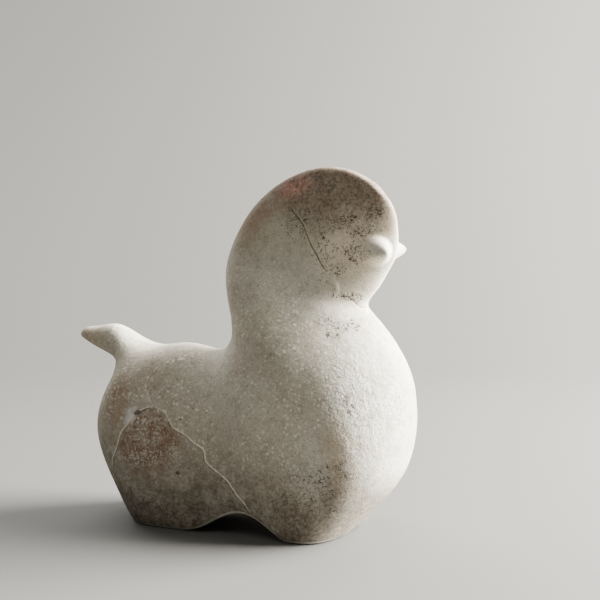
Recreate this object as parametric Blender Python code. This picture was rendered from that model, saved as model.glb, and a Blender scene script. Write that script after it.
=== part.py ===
# A ceramic horse, cast and fired in one piece: a round barrel on four stubby feet,
# a short upturned tail, and a tall neck that thins into a flat, round-crested head
# with a pair of small blunt nubs at its brow.
#
# The horse faces +X and is the same on both sides of the plane Y = 0. It stands on
# Z = 0, and the origin lies on the table under the middle of its length.
# Everything is in metres, apart from the drawing's sections, which are in millimetres.

import bmesh
import bpy
import numpy as np

# Overall size of the piece
HEIGHT = 0.220
LENGTH = 0.227
WIDTH = 0.097

# Arch between the front and the rear feet, and how softly it runs out into the feet
ARCH_HEIGHT = 0.0142
ARCH_MIDDLE_X = 0.018
ARCH_REACH_FRONT = 0.031
ARCH_REACH_REAR = 0.042
ARCH_RUN_OUT_FRONT = 1.6
ARCH_RUN_OUT_REAR = 3.0

# Cleft between the left and the right feet
CLEFT_DEPTH = 0.003
CLEFT_HALF_WIDTH = 0.008
CLEFT_RUN_OUT = 2.0

# Nubs at the brow, turned out to either side, and how fast their sides fall away
NUB_HEIGHT = 0.0148
NUB_RADIUS = 0.0105
NUB_TIP_X = 0.1012
NUB_TIP_OUT = 0.0194
NUB_TIP_Z = 0.1708
NUB_TURN = np.radians(48.0)
NUB_BLUNTNESS = 2.2

# How finely the skin is faceted, and the least angle of an edge that stays sharp
RING_COUNT = 96
POINTS_ROUND = 52
ARCH_STEPS = 24
CLEFT_STEPS = 8
SHARP_EDGE = np.radians(50.0)

# Colour and finish
BISQUE = (0.56, 0.50, 0.42)
BISQUE_ROUGHNESS = 0.82

# The drawing's own size, in millimetres: the sections below are set out on it, and
# the piece is scaled from it along each axis.
DRAWN_LENGTH = 227.0
DRAWN_WIDTH = 97.0
DRAWN_HEIGHT = 220.0

# The two points where the skin closes, in side view (x, z).
TAIL_TIP = (-113.5, 112.0)
CROWN = (89.7, 209.4)

# The sections, from the tail to the crown. Each runs from the back rail (tail top,
# saddle, back of the neck, crest) to the front rail (under the tail, rump, belly,
# chest, throat, face), and stands across the plane Y = 0.
# back x, z | front x, z | half width | seat of the widest point, from -1 at the front
# rail to 1 at the back rail | squareness towards the back and towards the front.
# Sections of the feet run on below the table, which cuts them off flat.
SECTIONS = (
    ("end of the tail", -109.5, 116.6, -109.5, 108.5, 5.0, 0.0, 2.0, 2.0),
    ("upturned tail", -99.5, 118.2, -101.0, 104.2, 8.0, 0.0, 2.0, 2.0),
    ("thick of the tail", -87.0, 119.7, -91.5, 100.0, 11.0, 0.0, 2.0, 2.0),
    ("root of the tail", -75.0, 114.0, -82.5, 93.0, 17.0, 0.0, 2.0, 2.0),
    ("upper rump", -63.0, 108.6, -85.0, 79.5, 26.0, 0.0, 2.0, 2.0),
    ("widest rump", -53.0, 108.0, -93.5, 58.0, 34.5, 0.0, 2.0, 2.0),
    ("lower rump", -44.0, 109.2, -88.5, 30.0, 40.0, 0.0, 2.2, 2.2),
    ("heel of the rear feet", -35.0, 109.3, -64.0, -8.0, 42.0, -0.1, 2.4, 3.3),
    ("rear feet", -26.0, 108.0, -43.0, -30.0, 42.5, -0.1, 2.4, 3.4),
    ("belly", -18.5, 106.6, -9.0, -38.0, 42.5, -0.1, 2.4, 4.0),
    ("front feet", -12.0, 107.0, 27.0, -38.0, 42.8, -0.1, 2.4, 4.2),
    ("toes of the front feet", -8.0, 108.7, 54.5, -26.0, 45.6, -0.1, 2.4, 6.4),
    ("insteps of the front feet", -5.5, 111.0, 75.4, -1.0, 48.2, -0.1, 2.4, 9.5),
    ("foot of the chest", -3.2, 115.0, 98.5, 25.5, 48.4, -0.1, 2.4, 6.0),
    ("low chest", -2.0, 119.5, 110.9, 53.0, 47.4, -0.1, 2.3, 3.0),
    ("high chest", -3.0, 127.5, 112.3, 86.0, 42.0, -0.05, 2.2, 2.2),
    ("shoulder", -5.8, 137.0, 102.0, 112.5, 33.0, 0.0, 2.2, 2.2),
    ("root of the neck", -8.0, 147.0, 89.0, 130.0, 25.0, 0.0, 2.3, 2.3),
    ("throat", -8.4, 156.0, 83.8, 138.5, 20.0, 0.0, 2.6, 2.4),
    ("jaw", -6.8, 166.0, 89.9, 147.5, 15.5, -0.1, 3.0, 2.6),
    ("cheek", -1.1, 179.8, 96.6, 158.4, 12.0, -0.2, 3.6, 3.0),
    ("below the nubs", 9.2, 195.5, 101.8, 169.0, 9.6, -0.2, 4.2, 3.0),
    ("nubs", 26.5, 210.3, 102.5, 181.2, 7.4, -0.1, 4.6, 3.0),
    ("forehead", 49.0, 219.2, 101.1, 192.1, 5.6, 0.0, 5.0, 3.2),
    ("crest", 69.4, 219.1, 97.6, 199.8, 4.5, 0.0, 4.5, 3.2),
    ("round of the crown", 82.5, 213.9, 94.0, 204.3, 3.2, 0.0, 3.2, 2.6),
)


def clear_scene():
    for thing in list(bpy.data.objects):
        bpy.data.objects.remove(thing, do_unlink=True)


def ceramic_material():
    material = bpy.data.materials.new("matte ceramic")
    material.use_nodes = True
    shader = material.node_tree.nodes["Principled BSDF"]
    shader.inputs["Base Color"].default_value = (*BISQUE, 1.0)
    shader.inputs["Roughness"].default_value = BISQUE_ROUGHNESS
    shader.inputs["Metallic"].default_value = 0.0
    return material


def closed_spline(knots):
    """Slopes of the smooth closed cubic curve through evenly counted knots."""
    count = len(knots)
    unit = np.eye(count)
    ties = 4 * unit + np.roll(unit, 1, axis=0) + np.roll(unit, -1, axis=0)
    rises = 3 * (np.roll(knots, -1, axis=0) - np.roll(knots, 1, axis=0))
    return np.linalg.solve(ties, rises)


def along_spline(knots, places):
    """Points of the closed curve at the places, counted in knots."""
    slopes = closed_spline(knots)
    start = np.floor(places).astype(int)
    t = (places - start)[:, None]
    here = start % len(knots)
    there = (start + 1) % len(knots)
    return ((2 * t**3 - 3 * t**2 + 1) * knots[here] + (t**3 - 2 * t**2 + t) * slopes[here]
            + (3 * t**2 - 2 * t**3) * knots[there] + (t**3 - t**2) * slopes[there])


def there_and_back(column, at_ends, sign=1.0):
    """A section value as a closed run: tail tip, the sections, the crown, and back."""
    return np.concatenate([[at_ends[0]], column, [at_ends[1]], sign * column[::-1]])[:, None]


def sections_at(places):
    """Back rail, front rail, half width, widest seat and squareness at the places."""
    table = np.array([row[1:] for row in SECTIONS])
    turn = len(SECTIONS) + 1
    outline = np.vstack([[TAIL_TIP], table[:, 0:2], [CROWN], table[::-1, 2:4]])
    back = along_spline(outline, places)
    front = along_spline(outline, (2 * turn - places) % (2 * turn))
    half_width = along_spline(there_and_back(table[:, 4], (0.0, 0.0), -1.0), places)
    shape = [along_spline(there_and_back(column, (column[0], column[-1])), places)
             for column in table[:, 5:8].T]
    return back, front, half_width, shape


def ring_places(count):
    """Places of the rings, spread so that they lie about evenly along the skin."""
    fine = np.linspace(0, len(SECTIONS) + 1, 20 * count)
    back, front, half_width, _ = sections_at(fine)
    steps = (np.hypot(*np.diff(back, axis=0).T) + np.hypot(*np.diff(front, axis=0).T)
             + 2 * np.abs(np.diff(half_width[:, 0])))
    run = np.concatenate([[0], np.cumsum(steps)])
    return np.interp(np.linspace(0, run[-1], count), run, fine)


def lift_nubs(points):
    """Raise the two nubs: skin near each nub's axis moves out along it, most at the tip."""
    for side in (-1, 1):
        tip = np.array([NUB_TIP_X, side * NUB_TIP_OUT, NUB_TIP_Z])
        axis = np.array([np.cos(NUB_TURN), side * np.sin(NUB_TURN), 0.0])
        from_tip = points - tip
        depth = from_tip @ axis
        off_axis = np.sqrt(np.maximum((from_tip**2).sum(axis=-1) - depth**2, 0))
        own_side = side * points[..., 1] > -NUB_RADIUS / 5
        own_end = np.abs(depth) < 3 * NUB_RADIUS
        share = np.clip(off_axis / NUB_RADIUS, 0, 1)
        lift = NUB_HEIGHT * (1 - share**2) ** NUB_BLUNTNESS * (own_side & own_end)
        points = points + lift[..., None] * axis
    return points


def skin_points(ring_count, points_round):
    """The skin as rings of points, before the table cuts the feet off.

    Round a ring, the height between the rails goes as a cosine, and the half width
    goes as the root of 1 - t**squareness, with t counted out from the widest point.
    """
    places = ring_places(ring_count)
    back, front, half_width, (seat, square_back, square_front) = sections_at(places)
    angle = np.linspace(0, 2 * np.pi, points_round, endpoint=False)
    height = -np.cos(angle)[None, :]
    side = -np.sign(np.round(np.sin(angle), 9))[None, :]
    above = height > seat
    t = np.where(above, (height - seat) / (1 - seat), (seat - height) / (1 + seat))
    square = np.where(above, square_back, square_front)
    swell = np.sqrt(np.maximum(1 - np.clip(t, 0, 1) ** square, 0))
    middle = (back + front) / 2
    reach = (back - front) / 2
    x = middle[:, :1] + reach[:, :1] * height
    z = middle[:, 1:] + reach[:, 1:] * height
    y = side * half_width * swell
    points = np.stack([x * LENGTH / DRAWN_LENGTH, y * WIDTH / DRAWN_WIDTH,
                       z * HEIGHT / DRAWN_HEIGHT], axis=-1)
    return lift_nubs(points)


def build_skin(material):
    """The closed skin: rings joined by quads, and a fan of triangles at each end."""
    points = skin_points(RING_COUNT, POINTS_ROUND)
    shell = bmesh.new()
    tail_tip = shell.verts.new(points[0, 0])
    rings = [[shell.verts.new(point) for point in ring] for ring in points[1:-1]]
    crown = shell.verts.new(points[-1, 0])
    for step in range(POINTS_ROUND):
        after = (step + 1) % POINTS_ROUND
        shell.faces.new((tail_tip, rings[0][step], rings[0][after]))
        for ring, following in zip(rings[:-1], rings[1:]):
            shell.faces.new((ring[step], following[step], following[after], ring[after]))
        shell.faces.new((rings[-1][step], crown, rings[-1][after]))
    bmesh.ops.recalc_face_normals(shell, faces=shell.faces)
    mesh = bpy.data.meshes.new("horse")
    shell.to_mesh(mesh)
    shell.free()
    mesh.materials.append(material)
    mesh.shade_smooth()
    mesh.set_sharp_from_angle(angle=SHARP_EDGE)
    horse = bpy.data.objects.new("horse", mesh)
    bpy.context.collection.objects.link(horse)
    return horse


def add_cutter(name, outline, along, start, end):
    """A closed bar: the outline, in the plane across one axis, drawn out along it."""
    block = bmesh.new()
    corners = []
    for u, z in outline:
        corners.append(block.verts.new((u, start, z) if along == "Y" else (start, u, z)))
    face = block.faces.new(corners)
    drawn = bmesh.ops.extrude_face_region(block, geom=[face])
    moved = [part for part in drawn["geom"] if isinstance(part, bmesh.types.BMVert)]
    shift = (0, end - start, 0) if along == "Y" else (end - start, 0, 0)
    bmesh.ops.translate(block, verts=moved, vec=shift)
    bmesh.ops.recalc_face_normals(block, faces=block.faces)
    mesh = bpy.data.meshes.new(name)
    block.to_mesh(mesh)
    block.free()
    cutter = bpy.data.objects.new(name, mesh)
    cutter.display_type = "WIRE"
    cutter.hide_render = True
    bpy.context.collection.objects.link(cutter)
    return cutter


def table_outline():
    """The table in side view, swelling up into the arch between the feet."""
    part = np.linspace(-1, 1, 2 * ARCH_STEPS + 1)
    reach = np.where(part < 0, ARCH_REACH_REAR, ARCH_REACH_FRONT)
    run_out = np.where(part < 0, ARCH_RUN_OUT_REAR, ARCH_RUN_OUT_FRONT)
    arch = list(zip(ARCH_MIDDLE_X + part * reach, ARCH_HEIGHT * (1 - part**2) ** run_out))
    below = -HEIGHT
    return [(-LENGTH, below), (-LENGTH, 0.0)] + arch + [(LENGTH, 0.0), (LENGTH, below)]


def cleft_outline():
    """The cleft seen from the front: a low round-topped ridge standing in the table."""
    span = np.linspace(-1, 1, 2 * CLEFT_STEPS + 1)
    ridge = [(part * CLEFT_HALF_WIDTH, CLEFT_DEPTH * (1 - part**2) ** CLEFT_RUN_OUT) for part in span]
    below = -CLEFT_DEPTH
    return [(-CLEFT_HALF_WIDTH, below)] + ridge + [(CLEFT_HALF_WIDTH, below)]


def cut_with(piece, cutter):
    cut = piece.modifiers.new(cutter.name, "BOOLEAN")
    cut.operation = "DIFFERENCE"
    cut.solver = "EXACT"
    cut.object = cutter


def main():
    clear_scene()
    horse = build_skin(ceramic_material())
    cut_with(horse, add_cutter("table and arch", table_outline(), "Y", -WIDTH, WIDTH))
    cut_with(horse, add_cutter("cleft between the feet", cleft_outline(), "X", -LENGTH, LENGTH))


main()
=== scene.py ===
# %% [markdown]
# # A ceramic horse
#
# The horse is one body of coarse clay, cast and fired without a glaze. Two things make its
# look: a smooth, swelling form, and a dry, mottled skin with flecks, specks, a raised vein
# and a hammered chest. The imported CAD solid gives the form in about 10,000 flat faces.
# This lesson builds the same form again as one fine mesh, works the relief into it, and
# then paints it with a material made only of nodes.

import bpy
import numpy as np
from mathutils import Matrix, Vector


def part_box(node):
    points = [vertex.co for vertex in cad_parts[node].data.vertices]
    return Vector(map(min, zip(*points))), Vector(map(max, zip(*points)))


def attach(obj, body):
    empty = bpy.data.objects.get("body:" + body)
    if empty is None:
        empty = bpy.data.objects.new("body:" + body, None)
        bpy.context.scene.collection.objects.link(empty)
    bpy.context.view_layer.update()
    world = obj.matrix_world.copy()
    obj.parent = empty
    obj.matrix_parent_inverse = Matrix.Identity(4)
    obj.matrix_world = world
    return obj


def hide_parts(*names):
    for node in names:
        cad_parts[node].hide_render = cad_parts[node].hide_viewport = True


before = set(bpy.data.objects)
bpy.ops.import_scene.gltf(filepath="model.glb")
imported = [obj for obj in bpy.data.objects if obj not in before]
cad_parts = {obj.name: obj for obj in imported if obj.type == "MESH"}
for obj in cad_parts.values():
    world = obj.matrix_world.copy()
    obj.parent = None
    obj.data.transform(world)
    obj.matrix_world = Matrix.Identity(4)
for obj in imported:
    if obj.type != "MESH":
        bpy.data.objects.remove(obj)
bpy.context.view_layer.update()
low, high = np.array(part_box("horse"))
LENGTH, WIDTH, HEIGHT = high - low
MM = 0.001

# %% [markdown]
# ## The form
#
# A modeller of clay would think of this horse as a row of slices: round ones for the
# tail, broad ones for the rump and the chest, thin ones for the head. Sculpt mode could
# follow it by eye, but slices with sizes can be corrected one at a time, so the form is a
# loft. Each slice hangs between two rails that are seen from the side: the back rail runs
# along the tail, the saddle and the neck, and the front rail runs under the tail, down
# the rump, along the belly and up the chest and the face.

# %% Sections of the horse, in millimetres
# back x, z | front x, z | half width | seat of the widest point, from -1 at the front
# rail to 1 at the back rail | squareness towards the back and towards the front
DRAWN = np.array([227.0, 97.0, 220.0])
TAIL_TIP = (-113.5, 112.0)
CROWN = (89.7, 209.4)
SECTIONS = {
    "end of the tail": (-109.5, 116.6, -109.5, 108.5, 5.0, 0.0, 2.0, 2.0),
    "upturned tail": (-99.5, 118.2, -101.0, 104.2, 8.0, 0.0, 2.0, 2.0),
    "thick of the tail": (-87.0, 119.7, -91.5, 100.0, 11.0, 0.0, 2.0, 2.0),
    "root of the tail": (-75.0, 114.0, -82.5, 93.0, 17.0, 0.0, 2.0, 2.0),
    "upper rump": (-63.0, 108.6, -85.0, 79.5, 26.0, 0.0, 2.0, 2.0),
    "widest rump": (-53.0, 108.0, -93.5, 58.0, 34.5, 0.0, 2.0, 2.0),
    "lower rump": (-44.0, 109.2, -88.5, 30.0, 40.0, 0.0, 2.2, 2.2),
    "heel of the rear feet": (-35.0, 109.3, -64.0, -8.0, 42.0, -0.1, 2.4, 3.3),
    "rear feet": (-26.0, 108.0, -43.0, -30.0, 42.5, -0.1, 2.4, 3.4),
    "belly": (-18.5, 106.6, -9.0, -38.0, 42.5, -0.1, 2.4, 4.0),
    "front feet": (-12.0, 107.0, 27.0, -38.0, 42.8, -0.1, 2.4, 4.2),
    "toes of the front feet": (-8.0, 108.7, 54.5, -26.0, 45.6, -0.1, 2.4, 6.4),
    "insteps of the front feet": (-5.5, 111.0, 75.4, -1.0, 48.2, -0.1, 2.4, 9.5),
    "foot of the chest": (-3.2, 115.0, 98.5, 25.5, 48.4, -0.1, 2.4, 6.0),
    "low chest": (-2.0, 119.5, 110.9, 53.0, 47.4, -0.1, 2.3, 3.0),
    "high chest": (-3.0, 127.5, 112.3, 86.0, 42.0, -0.05, 2.2, 2.2),
    "shoulder": (-5.8, 137.0, 102.0, 112.5, 33.0, 0.0, 2.2, 2.2),
    "root of the neck": (-8.0, 147.0, 89.0, 130.0, 25.0, 0.0, 2.3, 2.3),
    "throat": (-8.4, 156.0, 83.8, 138.5, 20.0, 0.0, 2.6, 2.4),
    "jaw": (-6.8, 166.0, 89.9, 147.5, 15.5, -0.1, 3.0, 2.6),
    "cheek": (-1.1, 179.8, 96.6, 158.4, 12.0, -0.2, 3.6, 3.0),
    "below the nubs": (9.2, 195.5, 101.8, 169.0, 9.6, -0.2, 4.2, 3.0),
    "nubs": (26.5, 210.3, 102.5, 181.2, 7.4, -0.1, 4.6, 3.0),
    "forehead": (49.0, 219.2, 101.1, 192.1, 5.6, 0.0, 5.0, 3.2),
    "crest": (69.4, 219.1, 97.6, 199.8, 4.5, 0.0, 4.5, 3.2),
    "round of the crown": (82.5, 213.9, 94.0, 204.3, 3.2, 0.0, 3.2, 2.6),
}
table = np.array(list(SECTIONS.values()))
print(len(table), "sections from the tail to the crown")

# %% [markdown]
# ## Rails as smooth curves
#
# Blender's own splines could carry the rails, but a closed cubic spline is only one small
# set of equations: at each knot the slope of the curve on the left equals the slope on
# the right. Here numpy solves them for all knots at once, and the same two functions
# then serve the rails, the widths and the squareness.

# %% Closed cubic splines
def closed_slopes(knots):
    """Slopes s with s[i-1] + 4 s[i] + s[i+1] = 3 (p[i+1] - p[i-1]), round the loop."""
    unit = np.eye(len(knots))
    ties = 4 * unit + np.roll(unit, 1, axis=0) + np.roll(unit, -1, axis=0)
    return np.linalg.solve(ties, 3 * (np.roll(knots, -1, axis=0) - np.roll(knots, 1, axis=0)))


def along(knots, places):
    """Hermite blend of two knots and their slopes, at places counted in knots."""
    slopes = closed_slopes(knots)
    start = np.floor(places).astype(int)
    t = (places - start)[:, None]
    here, there = start % len(knots), (start + 1) % len(knots)
    return ((2 * t**3 - 3 * t**2 + 1) * knots[here] + (t**3 - 2 * t**2 + t) * slopes[here]
            + (3 * t**2 - 2 * t**3) * knots[there] + (t**3 - t**2) * slopes[there])


def there_and_back(column, at_ends, sign=1.0):
    """A column of the table as a loop: tail tip, the sections, the crown, and back."""
    return np.concatenate([[at_ends[0]], column, [at_ends[1]], sign * column[::-1]])[:, None]


def slices_at(places):
    """Back rail, front rail, half width, and the three shape values, at the places."""
    turn = len(table) + 1
    rails = np.vstack([[TAIL_TIP], table[:, 0:2], [CROWN], table[::-1, 2:4]])
    half_width = along(there_and_back(table[:, 4], (0.0, 0.0), -1.0), places)
    shape = [along(there_and_back(column, (column[0], column[-1])), places)
             for column in table[:, 5:8].T]
    return along(rails, places), along(rails, (2 * turn - places) % (2 * turn)), half_width, shape


# %% Where the rings go
RINGS = 440
NEAR_POINTS = 134
FAR_POINTS = 90


def ring_places(count):
    """Equal steps of: length along both rails plus twice the change of half width."""
    fine = np.linspace(0, len(table) + 1, 20 * count)
    back, front, half_width, _ = slices_at(fine)
    steps = (np.hypot(*np.diff(back, axis=0).T) + np.hypot(*np.diff(front, axis=0).T)
             + 2 * np.abs(np.diff(half_width[:, 0])))
    run = np.concatenate([[0], np.cumsum(steps)])
    return np.interp(np.linspace(0, run[-1], count), run, fine)


places = ring_places(RINGS)
angle = np.concatenate([np.linspace(0, np.pi, NEAR_POINTS, endpoint=False),
                        np.linspace(np.pi, 2 * np.pi, FAR_POINTS, endpoint=False)])
print(RINGS, "rings of", len(angle), "points")

# %% [markdown]
# ## The skin
#
# Round each slice, the height between the rails goes as a cosine and the half width goes
# as the root of 1 - t**squareness, where t is counted from the widest point. A
# squareness of 2 is an ellipse, and 5 is nearly a box with round corners, as at the feet.

# %% Grid of the bare skin
def skin(places, angle):
    """Middle of the rails + reach * height; the side is half width * swell(height)."""
    back, front, half_width, (seat, square_back, square_front) = slices_at(places)
    height = -np.cos(angle)[None, :]
    side = -np.sign(np.round(np.sin(angle), 9))[None, :]
    above = height > seat
    t = np.where(above, (height - seat) / (1 - seat), (seat - height) / (1 + seat))
    swell = np.sqrt(np.maximum(1 - np.clip(t, 0, 1) ** np.where(above, square_back, square_front), 0))
    middle, reach = (back + front) / 2, (back - front) / 2
    x = middle[:, :1] + reach[:, :1] * height
    z = middle[:, 1:] + reach[:, 1:] * height
    return np.stack([x, side * half_width * swell, z], axis=-1)


points = skin(places, angle) * np.array([LENGTH, WIDTH, HEIGHT]) / MM / DRAWN
print("bare skin from", points.min(axis=(0, 1)).round(1), "to", points.max(axis=(0, 1)).round(1))

# %% [markdown]
# ## The nubs
#
# The two nubs at the brow are pinched out of the skin, not stuck on. So the skin near
# each nub's axis is lifted along that axis, and the lift falls off smoothly to the side.

# %% Lift the nubs
NUB_HEIGHT = 14.8
NUB_RADIUS = 10.5
NUB_TIP = np.array([101.2, 19.4, 170.8])
NUB_TURN = np.radians(48.0)
NUB_BLUNTNESS = 2.2
BROW_X, BROW_Z = 97, 150


def lift_nubs(points):
    """Lift = NUB_HEIGHT * (1 - (distance from the axis / NUB_RADIUS)**2)**NUB_BLUNTNESS."""
    for side in (-1, 1):
        axis = np.array([np.cos(NUB_TURN), side * np.sin(NUB_TURN), 0.0])
        from_tip = points - NUB_TIP * (1, side, 1)
        depth = from_tip @ axis
        off_axis = np.sqrt(np.maximum((from_tip**2).sum(axis=-1) - depth**2, 0))
        own = (side * points[..., 1] > -NUB_RADIUS / 5) & (np.abs(depth) < 3 * NUB_RADIUS)
        share = np.clip(off_axis / NUB_RADIUS, 0, 1)
        points = points + (NUB_HEIGHT * (1 - share**2) ** NUB_BLUNTNESS * own)[..., None] * axis
    return points


points = lift_nubs(points)
on_brow = (points[..., 0] > BROW_X) & (points[..., 2] > BROW_Z)
print("the near nub reaches out to y =", points[..., 1][on_brow].min().round(1), "mm")

# %% [markdown]
# ## Noise for the relief
#
# A Displace modifier with a texture could roughen the skin, but the relief here differs
# from place to place, so it is worked out as numbers. Value noise is enough: random
# values sit on the corners of a lattice of cells, and each point takes a smooth blend of
# the eight corners round it.

# %% Value noise
def value_noise(points, cell, seed):
    """Smooth blend, between -1 and 1, of the random values at the corners of each cell."""
    size = 64
    values = np.random.default_rng(seed).uniform(-1, 1, (size, size, size))
    place = points / cell
    corner = np.floor(place).astype(int)
    t = place - corner
    t = t * t * (3 - 2 * t)
    total = np.zeros(points.shape[:-1])
    for dx, dy, dz in np.ndindex(2, 2, 2):
        weight = (np.abs(1 - dx - t[..., 0]) * np.abs(1 - dy - t[..., 1]) * np.abs(1 - dz - t[..., 2]))
        i, j, k = ((corner + (dx, dy, dz)) % size).transpose(-1, *range(corner.ndim - 1))
        total += weight * values[i, j, k]
    return total


def smooth_step(value, start, end):
    """0 up to start, 1 from end on, and 3 t**2 - 2 t**3 between them."""
    t = np.clip((value - start) / (end - start), 0, 1)
    return t * t * (3 - 2 * t)


def spot(points, centre, radii, tilt=0.0):
    """A soft oval area, seen from the side: 1 in the middle, 0 outside its radii (mm)."""
    dx, dz = points[..., 0] - centre[0], points[..., 2] - centre[1]
    turn = np.radians(tilt)
    u = (dx * np.cos(turn) + dz * np.sin(turn)) / radii[0]
    v = (dz * np.cos(turn) - dx * np.sin(turn)) / radii[1]
    return smooth_step(1 - np.hypot(u, v), 0.0, 0.8)


near_side = smooth_step(-points[..., 1], -1.0, 3.0)
print("points on the near side:", int((near_side > 0.5).sum()))

# %% [markdown]
# ## Lines on the skin
#
# A raised vein crosses the rump, and fine cracks run down the head. Each is a path drawn
# on the side view. A texture painted by hand could carry them, but a distance does it
# better: every point of the skin stores how far it is from the path, with a sign for the
# side it is on. That value passes smoothly through zero, so both the relief and the
# colour can draw a line much thinner than the mesh's own spacing.

# %% Distance to a path
LEAST_SLOPE = 0.3
PAST_THE_MIDDLE = 2.0


def outward(points):
    """Unit normals: the cross product of the steps along the rings and round them."""
    across = np.gradient(points, axis=0)
    around = np.roll(points, -1, axis=1) - np.roll(points, 1, axis=1)
    normal = np.cross(around, across)
    length = np.linalg.norm(normal, axis=-1, keepdims=True)
    normal = normal / np.maximum(length, 1e-9)
    facing = (normal * (points - points.mean(axis=1, keepdims=True))).sum(axis=-1)
    return normal * np.sign(np.median(facing))


def rounded_path(corners, steps=6):
    """Catmull-Rom curve: through every corner, with slopes from its two neighbours."""
    corners = np.array(corners, float)
    padded = np.vstack([2 * corners[0] - corners[1], corners, 2 * corners[-1] - corners[-2]])
    t = np.linspace(0, 1, steps, endpoint=False)[None, :, None]
    a, b, c, d = (padded[i:len(padded) - 3 + i, None] for i in range(4))
    curve = 0.5 * (2 * b + (c - a) * t + (2 * a - 5 * b + 4 * c - d) * t**2
                   + (3 * b - a - 3 * c + d) * t**3)
    return np.vstack([curve.reshape(-1, 2), corners[-1:]])


def beside_path(points, normals, corners, reach=8.0):
    """Signed distance to the path in mm, and how far along it, from 0 to 1.

    The distance is measured in the side view, and divided by how steeply the skin cuts
    that view there, so that it is a length along the skin. Points further over to the
    far side than PAST_THE_MIDDLE are left out.
    """
    path = rounded_path(corners)
    run = np.concatenate([[0], np.cumsum(np.hypot(*np.diff(path, axis=0).T))])
    flat = points[..., ::2]
    close = ((flat > path.min(axis=0) - reach) & (flat < path.max(axis=0) + reach)).all(axis=-1)
    close &= points[..., 1] < PAST_THE_MIDDLE
    here, facing = flat[close][:, None], normals[close][:, None, ::2]
    start, step = path[:-1], np.diff(path, axis=0)
    length = np.hypot(*step.T)
    forward = step / length[:, None]
    sideways = np.stack([-forward[:, 1], forward[:, 0]], axis=-1)
    ahead = np.clip(((here - start) * forward).sum(axis=-1), 0, length)
    off = here - start - ahead[..., None] * forward
    nearest = np.argmin((off**2).sum(axis=-1), axis=1)
    pick = np.arange(len(nearest)), nearest
    slope = np.sqrt(np.maximum(1 - (facing * sideways).sum(axis=-1)[pick] ** 2, LEAST_SLOPE**2))
    distance = np.full(points.shape[:2], 2 * reach)
    place = np.full(points.shape[:2], -1.0)
    sign = np.sign((off * sideways).sum(axis=-1)[pick])
    distance[close] = sign * np.hypot(*off[pick].T) / slope
    place[close] = (run[nearest] + ahead[pick]) / run[-1]
    return distance, place


def ends_fade(place, share=0.08):
    """Strength along a path: it comes in and goes out over a share of the length."""
    return smooth_step(place, 0, share) * smooth_step(1 - place, 0, share)


normals = outward(points)
print("share of normals that point away from the middle:",
      float(((normals * (points - points.mean(axis=1, keepdims=True))).sum(-1) > 0).mean().round(3)))

# %% [markdown]
# ## Veins, cracks and pits
#
# The places below were chosen on the side view, in millimetres from the origin. The vein
# is a bead of paler clay that stands a little proud, with a shallow groove beside it. The
# cracks on the head are the reverse: narrow furrows.

# %% Paths on the near side
LINES = {
    "vein": [(-48, 86), (-46, 80), (-41, 75), (-33, 71), (-27, 63), (-20, 60), (-13, 55), (-6, 51),
             (-4, 44), (3, 39), (10, 34), (17, 26), (21, 22), (27, 15)],
    "side vein": [(-41, 75), (-45, 74), (-50, 71.5), (-55, 67.5), (-58, 63), (-62, 58), (-66, 48),
                  (-70, 40), (-72, 32)],
    "saddle seam": [(-41, 75), (-44, 81), (-47, 87), (-46, 92), (-43, 97), (-39, 100), (-33, 102.5),
                    (-23, 105)],
    "brow crack": [(37, 199), (38, 195), (42, 190), (46, 185), (48, 180), (50, 176), (54, 170),
                   (58, 164), (62, 158)],
    "cheek ridge": [(62, 158), (65, 155), (68, 151), (69.5, 147)],
    "jaw line": [(70, 144), (76, 143), (81, 138), (84, 137)],
}
lines = {name: beside_path(points, normals, corners) for name, corners in LINES.items()}
for name, (distance, place) in lines.items():
    print(name, "nearest point of the skin:", float(np.abs(distance).min().round(2)), "mm")

# %% Relief, in millimetres outwards
PITS = {(-51, 70.5): (2.2, 1.0), (-23, 68): (1.8, 0.5), (-23, 36): (2.0, 0.6), (-48, 76.5): (1.8, 0.4),
        (-70, 52): (1.6, 0.4), (30, 60): (1.5, 0.3), (12, 88): (1.4, 0.3), (84, 88): (1.6, 0.4),
        (87, 84): (1.5, 0.4), (96, 72): (1.5, 0.3), (92, 66): (1.4, 0.3)}


def bead(distance, half_width):
    """(1 - (distance / half width)**2)**2 inside the half width, and 0 outside."""
    return np.clip(1 - (distance / half_width) ** 2, 0, 1) ** 2


def ridge(name, half_width, shift=0.0):
    """A bead along a path, or beside it where the shift is not 0."""
    distance, place = lines[name]
    return bead(distance - shift, half_width) * ends_fade(place)


def pits(points):
    """Bowls: depth * (1 - (distance / radius)**2)**2, on the near side."""
    total = np.zeros(points.shape[:2])
    for (x, z), (radius, depth) in PITS.items():
        total += depth * bead(np.hypot(points[..., 0] - x, points[..., 2] - z), radius) * near_side
    return total


# %% Where the chest is hammered
hammered = smooth_step(points[..., 0], 58, 84) * smooth_step(points[..., 2], 2, 30)
hammered *= 1 - smooth_step(points[..., 2], 104, 128)
hammered *= 0.45 + 0.55 * spot(points, (92, 82), (30, 46))
hammered *= 0.8 + 0.3 * value_noise(points, cell=12.0, seed=6)
print("hammered, at the most:", float(hammered.max().round(2)))

# %% Add up the relief
SWELL_DEPTH = 0.30
UNEVEN_DEPTH = 0.16
FINE_DEPTH = 0.06
HAMMER_SWELL = 0.12
HAMMER_DENTS = 0.26
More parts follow.
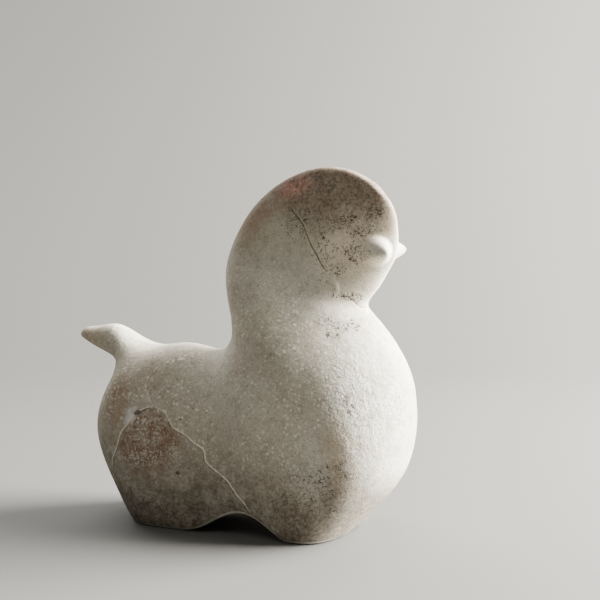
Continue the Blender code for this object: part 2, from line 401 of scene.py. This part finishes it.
# path, height, half width, and how far the bead lies to the side of the path
RIDGES = [
    ("vein", 0.36, 1.4, 0.0), ("vein", -0.16, 1.5, -2.2),
    ("side vein", 0.28, 1.4, 0.0), ("side vein", -0.16, 1.5, 2.2),
    ("saddle seam", 0.10, 1.5, 1.8), ("saddle seam", -0.12, 1.5, 0.0),
    ("brow crack", 0.08, 1.5, 1.9), ("brow crack", -0.35, 1.3, 0.0),
    ("cheek ridge", 0.50, 2.2, 0.0), ("jaw line", -0.30, 1.5, 0.0),
]
calm = 1 - 0.75 * smooth_step(points[..., 2], 120, 150)
relief = SWELL_DEPTH * value_noise(points, cell=27.0, seed=1)
relief += calm * UNEVEN_DEPTH * value_noise(points, cell=10.0, seed=2)
relief += calm * FINE_DEPTH * value_noise(points, cell=3.1, seed=3)
dents = HAMMER_SWELL * value_noise(points, cell=6.0, seed=4)
dents -= HAMMER_DENTS * np.abs(value_noise(points, cell=2.6, seed=5))
relief += hammered * dents
for name, height, half_width, shift in RIDGES:
    relief += height * ridge(name, half_width, shift)
relief -= pits(points)
print("relief from", float(relief.min().round(2)), "to", float(relief.max().round(2)), "mm")

# %% [markdown]
# ## Feet cut off by the table
#
# The slices of the feet run on below the table. A Boolean would cut them with a knife's
# edge. Real feet have rounded edges, so this goes in two steps. First the height is
# blended with the table's own height, which is zero apart from the arch and the cleft:
# the higher of the two is taken, and a short parabola joins them. Then the lowest few
# millimetres of the wall are drawn in along a quarter circle.

# %% Cut with rounded edges
ARCH_HEIGHT = 14.2
ARCH_MIDDLE_X = 18.0
ARCH_REAR = (42.0, 3.0)
ARCH_FRONT = (31.0, 1.6)
CLEFT_DEPTH = 3.0
CLEFT = (8.0, 2.0)
TABLE_BLEND = 1.4
EDGE_RADIUS = 2.6


def swelling(distance, reach, run_out):
    """(1 - (distance / reach)**2)**run_out within the reach, and 0 outside."""
    return np.clip(1 - (distance / reach) ** 2, 0, 1) ** run_out


def underside(x, y):
    """Height of what the feet stand on: the arch or the cleft, whichever is higher."""
    from_top = x - ARCH_MIDDLE_X
    arch = np.where(from_top < 0, swelling(from_top, *ARCH_REAR), swelling(from_top, *ARCH_FRONT))
    return np.maximum(ARCH_HEIGHT * arch, CLEFT_DEPTH * swelling(y, *CLEFT))


def rounded_higher(a, b, k):
    """The higher of a and b, with b + k ((a - b) / k + 1)**2 / 4 where |a - b| < k."""
    gap = np.clip((a - b) / k, -1, 1)
    return np.where(np.abs(a - b) < k, b + k * (gap + 1) ** 2 / 4, np.maximum(a, b))


def drawn_in(clearance, radius):
    """radius - sqrt(radius**2 - (radius - clearance)**2) up to the radius, and 0 above."""
    left = np.clip(radius - clearance, 0, radius)
    return radius - np.sqrt(radius**2 - left**2)


points = points + relief[..., None] * normals
ground = underside(points[..., 0], points[..., 1])
points[..., 2] = rounded_higher(points[..., 2], ground, TABLE_BLEND)
clearance = points[..., 2] - ground
points[..., :2] -= drawn_in(clearance, EDGE_RADIUS)[..., None] * normals[..., :2]
print("points that rest on the table:", int((points[..., 2] < 0.001).sum()))

# %% [markdown]
# ## From the grid to a mesh
#
# The first and the last ring are single points, so they close the skin with fans of
# triangles, and quads join all the rings between them. from_pydata takes the whole lot.

# %% Build the mesh
def skin_mesh(name, points):
    """Vertices: tail tip, rings, crown. Faces: a fan, the quads, a fan."""
    rings, round_count = points.shape[0] - 2, points.shape[1]
    places = np.vstack([points[:1, 0], points[1:-1].reshape(-1, 3), points[-1:, 0]]) * MM
    index = 1 + np.arange(rings * round_count).reshape(rings, round_count)
    after = np.roll(index, -1, axis=1)
    quads = np.stack([index[:-1], index[1:], after[1:], after[:-1]], axis=-1).reshape(-1, 4)
    tail_fan = np.stack([np.zeros_like(index[0]), index[0], after[0]], axis=-1)
    crown_fan = np.stack([index[-1], np.full_like(index[-1], len(places) - 1), after[-1]], axis=-1)
    mesh = bpy.data.meshes.new(name)
    mesh.from_pydata(places.tolist(), [], tail_fan.tolist() + quads.tolist() + crown_fan.tolist())
    mesh.shade_smooth()
    return mesh


def over_the_mesh(values):
    """A value for each grid point, in the order of the mesh's vertices."""
    return np.concatenate([values[:1, 0], values[1:-1].ravel(), values[-1:, 0]]).astype(np.float32)


mesh = skin_mesh("horse_body", points)
horse = bpy.data.objects.new("horse_body", mesh)
bpy.context.collection.objects.link(horse)
mesh.calc_loop_triangles()
corners = np.array([mesh.vertices[i].co for t in mesh.loop_triangles for i in t.vertices])
corners = corners.reshape(-1, 3, 3)
volume = np.einsum("ij,ij->i", corners[:, 0], np.cross(corners[:, 1], corners[:, 2])).sum() / 6
print(len(mesh.loop_triangles), "triangles, volume", round(volume * 1e6, 1), "cubic centimetres")

# %% [markdown]
# ## Where the colours lie
#
# The stains, blushes and specks keep to places on the horse, and so do painted light and
# shade: paler tops, chest front and face, darker low parts and chest corner, and painted
# highlights on the nubs, the cheek ridge, the saddle seam and the feet's edge. Each place is
# stored as a value on the mesh's vertices, which the material reads by name through an
# Attribute node and breaks up with noise. The stains, the flecks and most of the specks lie
# on both sides of the body, and the small marks only on the near side.

# %% Places as soft ovals
def store(name, values):
    """One number for each vertex, for the material's Attribute node."""
    attribute = mesh.attributes.new(name, "FLOAT", "POINT")
    attribute.data.foreach_set("value", over_the_mesh(values))
    print(f"{name}: {float(values.min()):.2f} to {float(values.max()):.2f}")


def several(*spots):
    """The strongest of several soft spots, each with a strength of its own."""
    return np.max([strength * spot(points, *oval) for strength, *oval in spots], axis=0)


x, y, z = points[..., 0], points[..., 1], points[..., 2]
for name in LINES:
    distance, place = lines[name]
    store(name + " distance", distance)
    fainter_start = 0.45 + 0.55 * smooth_step(place, 0.18, 0.34) if name == "vein" else 1.0
    store(name + " strength", ends_fade(place) * fainter_start)
store("foot edge", clearance)
store("hammered", hammered)

# %% Stains, specks and flecks on both sides, and painted light and shade
below_head = 1 - smooth_step(z, 160, 185)
# Painted light: the tops that face up, the chest front and the face, where the lamps fall, are painted
# paler; the throat is a little paler too.
lit_from_above = 0.3 * smooth_step(normals[..., 2], 0.5, 1.0) * below_head
lit_chest_front = 0.9 * smooth_step(x - 0.55 * (z - 100), 62, 100) * smooth_step(z, 18, 45) * below_head
face = several((1.0, (97, 163), (22, 17), -35), (0.8, (98, 172), (12, 11), 0))
throat = several((0.3, (74, 146), (30, 26), 0))
store("pale", np.maximum.reduce([lit_from_above, lit_chest_front, face, throat]))
# Darker towards the table and into the lower chest: a brown stain, and painted shade where the body
# turns away from the lamps.
store("low", (1 - smooth_step(z, 0, 78)) * (1 - 0.8 * smooth_step(x, 92, 110)))
# Painted shade on the lower chest beside its lit front, over a brown stain.
store("chest corner", several((1.0, (88, 27), (20, 27), 12), (1.0, (76, 8), (26, 18), 0)))
# Darker still in the lowest 30 mm: stain, and painted shade near the table.
store("footing", 1 - smooth_step(z, 0, 30))
store("far side", smooth_step(y, 4, 34) * (1 - 0.6 * smooth_step(z, 165, 200)))
store("brow", smooth_step(z + 0.12 * (x - 50) - 0.007 * (x - 62) ** 2, 172, 206))
# A creamy patch on the cheek, painted paler also to stand in for the light on its rounded side.
store("cheek", several((1.0, (79, 168), (36, 38), 20)))
store("red rump", several((1.0, (-66, 76), (13, 30), -8), (0.4, (-48, 92), (15, 18), 0)))
store("left rim", several((1.0, (13, 190), (34, 15), 52), (0.7, (30, 200), (20, 10), 30)))
store("ochre", several((1.0, (99, 189), (6, 15), 0), (1.1, (-102, 112), (22, 14), 0),
                       (0.9, (82, 60), (14, 28), -8), (0.6, (84, 42), (14, 16), 0),
                       (0.5, (72, 168), (16, 12), 0)))
store("specks", several((1.3, (89, 193), (10, 12), 10), (1.2, (84, 183), (17, 7), 10),
                        (1.1, (79, 170), (17, 11), -25), (1.1, (59, 173), (6, 22), 10),
                        (1.0, (70, 188), (16, 9), 5), (0.6, (46, 188), (24, 20), 0),
                        (0.5, (66, 164), (20, 18), 0), (0.85, (74, 42), (26, 12), 12),
                        (0.6, (60, 26), (32, 20), 10), (0.8, (86, 84), (7, 10), 0),
                        (0.7, (94, 74), (8, 8), 0)))
store("flecks", np.clip(smooth_step(z, 10, 70) - smooth_step(z, 140, 190)
                        - 0.9 * hammered * smooth_step(x, 84, 100), 0.15, 1))

# %% Marks on the near side
def between_veins(x, z):
    """1 below the vein and in front of the side vein, coming in over 2.5 mm."""
    vein_x, vein_z = np.array(LINES["vein"], float).T
    side_x, side_z = np.array(LINES["side vein"], float)[::-1].T
    return (smooth_step(np.interp(x, vein_x, vein_z) - z, 0, 2.5)
            * smooth_step(x - np.interp(z, side_z, side_x), 0, 2.5))


wedge = between_veins(x, z) * near_side
store("wedge", np.clip(1.5 * wedge * spot(points, (-45, 57), (33, 36)), 0, 1))
store("white grains", wedge * several((1.0, (-46, 44), (24, 10), 8), (0.8, (-28, 47), (9, 9), 0),
                                      (0.6, (-46, 58), (24, 24), 0)))
store("scar", several((1.3, (-56, 67.5), (7.0, 4.0), 45), (1.1, (-55, 72), (6.0, 2.6), 30),
                      (0.5, (-46.5, 79), (3.0, 5.0), 25)) * near_side)
store("pit", several((1.3, (-51.2, 70.6), (3.6, 1.7), 22), (0.6, (-46.5, 72.6), (5.0, 1.0), 22),
                     (0.8, (-23, 36), (3.0, 1.8), -20), (0.6, (-23, 68), (2.2, 1.6), 0)) * near_side)
# Where the painted glints lie, on the saddle.
store("glints", several((1.3, (-31, 102), (18, 8), 10)) * near_side)
# Painted highlight on the nubs and on the face just below them.
store("nub highlight", several((1.0, (96, 172), (15, 10), 0), (0.8, (98, 160), (12, 14), -30)))
store("blush", several((1.0, (39, 209), (16, 9), 20)) * near_side)
store("blush red", several((1.0, (41, 202), (9, 4), 10)) * near_side)
store("stars", several((1.0, (73, 125), (8, 6), 10), (0.8, (80, 127), (6, 5), 0),
                       (0.7, (65, 131), (6, 5), 0), (0.7, (75, 144), (12, 4), -8)) * near_side)

# %% [markdown]
# ## The clay
#
# Unglazed stoneware is dull: light sinks in and comes back evenly, so the roughness is
# high and nothing is metallic. What makes it look real is colour on four scales: clouds
# two centimetres wide, mottling of a few millimetres, flecks and specks of about one, and
# a fine grain. An image could hold all that, but noise nodes on Object coordinates have no
# seams, run round the whole body, and stay sharp at any distance.

# %% Small helpers for nodes
material = bpy.data.materials.new("matte stoneware")
material.use_nodes = True
tree = material.node_tree
shader = tree.nodes["Principled BSDF"]
coordinates = tree.nodes.new("ShaderNodeTexCoord").outputs["Object"]


def plug(socket, value):
    """Link another node's output, or set a plain number or colour."""
    if isinstance(value, bpy.types.NodeSocket):
        tree.links.new(value, socket)
    else:
        socket.default_value = value


def shifted(shift):
    """Object coordinates moved by a shift in metres, so that no two noises are alike."""
    moved = tree.nodes.new("ShaderNodeMapping")
    plug(moved.inputs["Vector"], coordinates)
    moved.inputs["Location"].default_value = (shift, -shift, 0.7 * shift)
    return moved.outputs["Vector"]


def noise(size, detail=2.0, roughness=0.55, distortion=0.0, shift=0.0):
    """Noise from 0 to 1 whose blobs are about size millimetres wide."""
    vector = shifted(shift)
    node = tree.nodes.new("ShaderNodeTexNoise")
    plug(node.inputs["Vector"], vector)
    node.inputs["Scale"].default_value = 0.5 / (size * MM)
    node.inputs["Detail"].default_value = detail
    node.inputs["Roughness"].default_value = roughness
    node.inputs["Distortion"].default_value = distortion
    return node.outputs["Fac"]


def dots(spacing, radius, share, shift=0.0):
    """Round grains up to the radius, 1 inside, in a share of the cells of the spacing."""
    vector = shifted(shift)
    node = tree.nodes.new("ShaderNodeTexVoronoi")
    plug(node.inputs["Vector"], vector)
    node.inputs["Scale"].default_value = 1 / (spacing * MM)
    chosen = tree.nodes.new("ShaderNodeSeparateColor")
    plug(chosen.inputs["Color"], node.outputs["Color"])
    size = times(chosen.outputs["Green"], radius / spacing)
    inside = between(math("SUBTRACT", node.outputs["Distance"], size), 0.10, 0.0)
    return times(inside, math("LESS_THAN", chosen.outputs["Red"], share))


def strokes(size, half_width, shift):
    """Thin curved lines: 1 where noise is within the half width of its middle value."""
    off_middle = math("ABSOLUTE", math("SUBTRACT", noise(size, 1.0, 0.5, 0.7, shift), 0.5))
    return between(off_middle, half_width, 0.5 * half_width)


def attribute(name):
    """A number that was stored on the mesh's vertices, by its name."""
    node = tree.nodes.new("ShaderNodeAttribute")
    node.attribute_name = name
    return node.outputs["Fac"]


def math(operation, a, b=0.0, c=0.0):
    """One Math node; an operation that needs fewer than three values ignores the rest."""
    node = tree.nodes.new("ShaderNodeMath")
    node.operation = operation
    for socket, value in zip(node.inputs, (a, b, c)):
        plug(socket, value)
    return node.outputs["Value"]


def times(first, *others):
    """The product of all the values."""
    for value in others:
        first = math("MULTIPLY", first, value)
    return first


def highest(first, *others):
    """The highest of all the values."""
    for value in others:
        first = math("MAXIMUM", first, value)
    return first


def between(value, start, end, to_start=0.0, to_end=1.0):
    """A smooth step of the value from start to end, as a Map Range node makes it."""
    node = tree.nodes.new("ShaderNodeMapRange")
    node.interpolation_type = "SMOOTHSTEP"
    for key, number in (("Value", value), ("From Min", start), ("From Max", end),
                        ("To Min", to_start), ("To Max", to_end)):
        plug(node.inputs[key], number)
    return node.outputs["Result"]


def mix(amount, under, over, blend="MIX"):
    """The under colour covered by the over colour, as much as the amount says."""
    node = tree.nodes.new("ShaderNodeMix")
    node.data_type = "RGBA"
    node.blend_type = blend
    plug(node.inputs["Factor"], amount)
    plug(node.inputs["A"], under if isinstance(under, bpy.types.NodeSocket) else (*under, 1.0))
    plug(node.inputs["B"], over if isinstance(over, bpy.types.NodeSocket) else (*over, 1.0))
    return node.outputs["Result"]


def mottled(area, size, least=0.4, shift=0.0):
    """An area whose strength changes from blob to blob, between the least share and all."""
    return times(area, between(noise(size, 4.0, 0.65, shift=shift), 0.36, 0.62, least, 1.0))


def stain_and_shade(colour, name, amount, stain_colour, size, shift):
    """A stored place tinted with a colour, in blobs of the size and of a quarter of it; it lays on
    stains and also painted shade.
    """
    area = mottled(mottled(attribute(name), size, 0.45, shift), 0.25 * size, 0.5, shift + 0.05)
    return mix(times(area, amount), colour, stain_colour)


# %% Clouds, stains, and painted light and shade
GREY = (0.47, 0.435, 0.34)
PALE = (0.64, 0.61, 0.53)
BROWN = (0.215, 0.150, 0.098)
UMBER = (0.115, 0.084, 0.058)
RUST = (0.19, 0.098, 0.058)
RED = (0.31, 0.185, 0.118)
BLUSH = (0.62, 0.32, 0.24)
BROWN_STAIN_AND_SHADE = (0.19, 0.165, 0.125)
BUFF = (0.235, 0.20, 0.15)
OCHRE = (0.46, 0.335, 0.19)
BEIGE = (0.84, 0.72, 0.55)
SOOT = (0.045, 0.036, 0.028)
SAND = (0.80, 0.76, 0.65)

# Paler clay, and painted light on the tops, the chest front and the face.
colour = mix(mottled(attribute("pale"), 14, 0.6, 0.1), GREY, PALE)
colour = mix(between(noise(24, 3.0, 0.55, shift=0.2), 0.42, 0.64, 0.0, 0.30), colour, PALE)
colour = mix(between(noise(20, 3.0, 0.55, shift=0.3), 0.45, 0.68, 0.0, 0.22), colour, BROWN)
colour = mix(between(noise(3, 4.0, 0.65, shift=0.4), 0.42, 0.68, 0.0, 0.30), colour, BROWN)
colour = stain_and_shade(colour, "brow", 0.85, BROWN, 5, 0.6)
# Creamy cheek, painted paler also for the light on its rounded side.
colour = mix(mottled(attribute("cheek"), 8, 0.6, 0.5), colour, BEIGE)
colour = stain_and_shade(colour, "brow", 0.55, RUST, 3, 0.65)
blotches = times(between(noise(2.4, 4.0, 0.7, 0.3, 0.67), 0.50, 0.60), attribute("brow"))
colour = mix(times(blotches, 0.45), colour, UMBER)
colour = stain_and_shade(colour, "left rim", 0.90, RED, 5, 0.7)
colour = stain_and_shade(colour, "red rump", 0.80, RED, 6, 0.8)
# Painted shade and brown stain on the low parts.
colour = stain_and_shade(colour, "low", 1.00, UMBER, 7, 0.9)
# Painted shade and brown stain at the corner of the lower chest.
colour = stain_and_shade(colour, "chest corner", 0.80, BROWN_STAIN_AND_SHADE, 6, 0.95)
# Painted shade and stain just above the table.
colour = stain_and_shade(colour, "footing", 0.45, UMBER, 5, 0.97)
colour = stain_and_shade(colour, "far side", 0.75, BUFF, 12, 1.4)
colour = mix(times(mottled(attribute("wedge"), 3, 0.5, 1.0), 0.85), colour, RUST)
colour = stain_and_shade(colour, "ochre", 0.60, OCHRE, 5, 1.1)
colour = stain_and_shade(colour, "blush red", 0.80, RUST, 4, 1.2)
colour = stain_and_shade(colour, "blush", 0.95, BLUSH, 4, 1.3)
# Painted highlight on the nubs.
colour = mix(mottled(attribute("nub highlight"), 5, 0.6, 1.35), colour, PALE)

# %% Pale flecks
crowds = between(noise(13, 3.0, shift=1.5), 0.35, 0.65, -0.035, 0.035)
fine_flecks = between(math("ADD", noise(0.8, 2.0, 0.6, 0.0, 1.4), crowds), 0.55, 0.68, 0.0, 0.6)
large_flecks = times(dots(2.4, 1.0, 0.65, 1.45), between(crowds, -0.035, 0.02, 0.35, 1.0))
pale_flecks = times(highest(fine_flecks, large_flecks), attribute("flecks"))
colour = mix(times(pale_flecks, 0.60), colour, SAND)

# %% Pepper and grime
pepper = between(noise(0.8, 3.0, 0.6, 0.5, 1.6), 0.54, 0.66)
colour = mix(times(pepper, 0.32), colour, UMBER)
grimy = highest(attribute("brow"), attribute("low"))
grime = times(between(noise(0.95, 4.0, 0.65, 0.3, 1.65), 0.48, 0.62), grimy)
colour = mix(times(grime, 0.50), colour, SOOT)

# %% [markdown]
# ## Dark specks
#
# The dark specks are short bent hairs and small stars, not round dots. Cells of a Voronoi
# texture would give dots or closed nets, so the specks are thin strokes instead, drawn
# where a noise passes through its middle value. A coarser noise lets only pieces of the
# strokes through, and only in the stored places.

# %% Hairs, crumbs and stars
hairs = highest(strokes(1.9, 0.026, 1.7), strokes(1.3, 0.034, 1.75))
clumps = between(noise(4.0, 3.0, shift=1.8), 0.35, 0.65, -0.10, 0.10)
pieces = math("ADD", noise(1.1, 2.0, 0.6, 0.4, 1.85), clumps)


def pieces_in(name, gain, start, end):
    """Pieces that are let through in a stored place: more where it is strong, 0 outside."""
    raised = math("MULTIPLY_ADD", attribute(name), gain, pieces)
    return times(between(raised, start, end), between(attribute(name), 0.0, 0.25))


crumb_noise = math("MULTIPLY_ADD", attribute("specks"), 0.14, noise(0.7, 1.0, 0.5, 0.0, 1.9))
crumbs = between(crumb_noise, 0.74, 0.78)
strength = between(noise(4, 2.0, shift=1.95), 0.38, 0.58, 0.55, 0.92)
specks = times(highest(times(hairs, pieces_in("specks", 0.24, 0.66, 0.71)), crumbs), strength)
stars = times(strokes(1.2, 0.055, 1.78), pieces_in("stars", 0.60, 0.58, 0.64), 0.9)
colour = mix(highest(specks, stars), colour, SOOT)

# %% White grains and the fine grain
white_grains = highest(between(noise(0.75, 1.0, 0.5, 0.8, 2.0), 0.56, 0.62), dots(1.6, 0.8, 0.6, 2.05))
white_grains = times(white_grains, attribute("white grains"))
colour = mix(times(white_grains, 0.50), colour, SAND)
grain = noise(0.5, 2.0, 0.7, shift=2.1)
colour = mix(1.0, colour, between(grain, 0.2, 0.8, 0.84, 1.14), "MULTIPLY")


# %% [markdown]
# ## Lines drawn by distance
#
# The stored distance is in millimetres, so a line is where its size is less than half
# the line's width. A little noise moves the line to and fro, as a real seam wanders, and
# the same distance with a shift puts a dark edge beside the line.

# %% A line on the skin
def line(name, half_width, wander=0.6, shift=0.0):
    """1 where the distance, moved by noise and by the shift, is within the half width."""
    moved = math("ADD", attribute(name + " distance"), -0.5 * wander - shift)
    shaken = math("MULTIPLY_ADD", noise(3, 2.0, shift=2.2), wander, moved)
    inside = between(math("ABSOLUTE", shaken), half_width, 0.4 * half_width)
    return times(inside, attribute(name + " strength"))


# %% Scar, veins, seam and painted glints
VEIN_AND_GLINT_WHITE = (0.80, 0.73, 0.62)
SCAR_CLAY = (0.70, 0.68, 0.66)
broken = between(noise(2.5, shift=2.3), 0.40, 0.52)
shadow_lines = highest(line("vein", 0.7, 0.6, -0.9), line("side vein", 0.6, 0.6, 0.8),
                       times(line("saddle seam", 0.45), 0.6))
colour = mix(times(shadow_lines, 0.40), colour, UMBER)
scar = times(attribute("scar"), between(noise(2, 2.0, shift=2.25), 0.3, 0.6, 0.45, 0.85))
colour = mix(scar, colour, SCAR_CLAY)
veins = highest(line("vein", 0.68, 1.2), line("side vein", 0.6, 0.9))
veins = times(veins, between(noise(2, 3.0, shift=2.35), 0.35, 0.55, 0.5, 1.0))
# Painted glints: broken pale dashes on the saddle seam and pale grains beside it, for light catching
# the seam.
seam_glints = times(line("saddle seam", 0.6, 1.2, 0.9), broken, 0.5)
beside_seam = between(math("ABSOLUTE", attribute("saddle seam distance")), 2.6, 1.2)
glints = times(beside_seam, attribute("glints"), dots(1.5, 1.3, 0.6, 2.45))
colour = mix(times(highest(veins, seam_glints, glints), 0.90), colour, VEIN_AND_GLINT_WHITE)

# %% Cracks, pits, and a painted highlight on the worn edge of the feet
cracks = highest(line("brow crack", 0.55, 1.8), line("jaw line", 0.6, 1.2))
cracks = times(cracks, between(noise(3, shift=2.4), 0.30, 0.50, 0.45, 1.0))
dark_pits = between(attribute("pit"), 0.15, 0.6)
colour = mix(times(highest(cracks, dark_pits), 0.80), colour, SOOT)
# Painted highlight on the raised lip of the brow crack and on the cheek ridge.
lit_lips = highest(times(line("brow crack", 0.35, 1.6, 0.9), 0.25), line("cheek ridge", 0.7))
colour = mix(times(lit_lips, 0.55), colour, PALE)
# A pale band just above the table: worn clay, and a painted highlight on the rounded bottom edge.
above_ground = attribute("foot edge")
lit_foot_edge = times(between(above_ground, 0.0, 0.5), between(above_ground, 2.3, 1.1))
colour = mix(times(lit_foot_edge, 0.75), colour, SAND)

# %% Finish of the clay
BUMP_STRENGTH = 0.6
BUMP_DEPTH = 0.5
SPECULAR = 0.35
coarse = times(noise(1.3, 3.0, 0.6, 0.8, 2.5), between(attribute("hammered"), 0.0, 1.0, 0.5, 3.2))
bumps = math("MULTIPLY_ADD", noise(0.9, 2.0, 0.6, shift=2.6), 0.35, coarse)
bumps = math("MULTIPLY_ADD", pale_flecks, 0.15, bumps)
bump = tree.nodes.new("ShaderNodeBump")
bump.inputs["Strength"].default_value = BUMP_STRENGTH
bump.inputs["Distance"].default_value = BUMP_DEPTH * MM
plug(bump.inputs["Height"], bumps)
plug(shader.inputs["Normal"], bump.outputs["Normal"])
plug(shader.inputs["Base Color"], colour)
plug(shader.inputs["Roughness"], between(grain, 0.3, 0.7, 0.86, 0.74))
shader.inputs["Specular IOR Level"].default_value = SPECULAR
mesh.materials.append(material)
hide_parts("horse")
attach(horse, "root")
print(len(tree.nodes), "nodes in the clay")

# %% [markdown]
# ## Floor, light and camera
#
# The floor is one pale sheet that curves up about 0.6 m behind the horse, so that no
# horizon cuts the picture. The key light is as large as a small window. It stands to the
# right and a little behind, so the chest and the face are bright and the near side is in
# soft shade. A broad, weak lamp high in front keeps that shade open.

# %% The studio
def floor_sheet(width, front, back, rise, radius, steps=24):
    """A profile (flat, a quarter turn, then upright) drawn out sideways."""
    turn = np.linspace(0, np.pi / 2, steps)
    run = np.concatenate([[-front], back + radius * np.sin(turn), [back + radius]])
    level = np.concatenate([[0], radius * (1 - np.cos(turn)), [rise]])
    left = np.stack([np.full_like(run, -width / 2), run, level], axis=-1)
    right = left * (-1, 1, 1)
    count = len(run)
    first = np.arange(count - 1)
    faces = np.stack([first, first + count, first + count + 1, first + 1], axis=-1)
    sheet = bpy.data.meshes.new("studio_floor")
    sheet.from_pydata(np.vstack([left, right]).tolist(), [], faces.tolist())
    sheet.shade_smooth()
    return sheet


VIEW_TURN = np.radians(21.5)
PAPER = (0.105, 0.102, 0.095, 1.0)
PAPER_ROUGHNESS = 0.7
sheet = floor_sheet(width=6.0, front=2.5, back=0.62, rise=1.0, radius=0.45)
floor = bpy.data.objects.new("studio_floor", sheet)
bpy.context.collection.objects.link(floor)
floor.data.transform(Matrix.Rotation(VIEW_TURN, 4, "Z"))
paper = bpy.data.materials.new("pale paper")
paper.use_nodes = True
paper_shader = paper.node_tree.nodes["Principled BSDF"]
paper_shader.inputs["Base Color"].default_value = PAPER
paper_shader.inputs["Roughness"].default_value = PAPER_ROUGHNESS
floor.data.materials.append(paper)

# %% Lights
MIDDLE = Vector((0.02, 0.0, 0.10))
SUN_TINT = (1.0, 0.985, 0.94)
SKY_TINT = (1.0, 0.99, 0.96)
ROOM_TINT = (1.0, 0.975, 0.92)
HAZE = (0.90, 0.92, 0.95, 1.0)
HAZE_STRENGTH = 0.06


def soft_light(name, azimuth, elevation, distance, size, power, tint):
    """A square lamp on a sphere round the horse, turned to face its middle."""
    around, up = np.radians(azimuth), np.radians(elevation)
    toward = Vector((np.cos(around) * np.cos(up), np.sin(around) * np.cos(up), np.sin(up)))
    lamp = bpy.data.lights.new(name, "AREA")
    lamp.size = size
    lamp.energy = power
    lamp.color = tint
    light = bpy.data.objects.new(name, lamp)
    light.location = MIDDLE + distance * toward
    light.rotation_euler = toward.to_track_quat("Z", "Y").to_euler()
    light.visible_camera = False
    bpy.context.collection.objects.link(light)


soft_light("window", 31, 23, 1.25, 0.95, 330.0, SUN_TINT)
soft_light("sky", 112, 62, 1.2, 0.9, 13.0, SKY_TINT)
soft_light("rim", 150, 30, 1.2, 0.5, 8.0, SKY_TINT)
soft_light("fill", -98, 57, 2.2, 1.6, 13.2, ROOM_TINT)
world = bpy.data.worlds.new("studio")
world.use_nodes = True
backdrop = world.node_tree.nodes["Background"]
backdrop.inputs["Color"].default_value = HAZE
backdrop.inputs["Strength"].default_value = HAZE_STRENGTH
bpy.context.scene.world = world

# %% Camera
LENS = 82.8
SENSOR_WIDTH = 36.0
CAMERA_DISTANCE = 0.8395
CAMERA_HEIGHT = 0.2174
CAMERA_DIP = np.radians(5.30)
AIM_X = 0.040
eye = Vector((AIM_X + CAMERA_DISTANCE * np.sin(VIEW_TURN), -CAMERA_DISTANCE * np.cos(VIEW_TURN),
              CAMERA_HEIGHT))
lens = bpy.data.cameras.new("camera")
lens.lens = LENS
lens.sensor_width = SENSOR_WIDTH
camera = bpy.data.objects.new("camera", lens)
camera.matrix_world = (Matrix.Translation(eye) @ Matrix.Rotation(VIEW_TURN, 4, "Z")
                       @ Matrix.Rotation(np.pi / 2 - CAMERA_DIP, 4, "X"))
bpy.context.collection.objects.link(camera)
bpy.context.scene.camera = camera
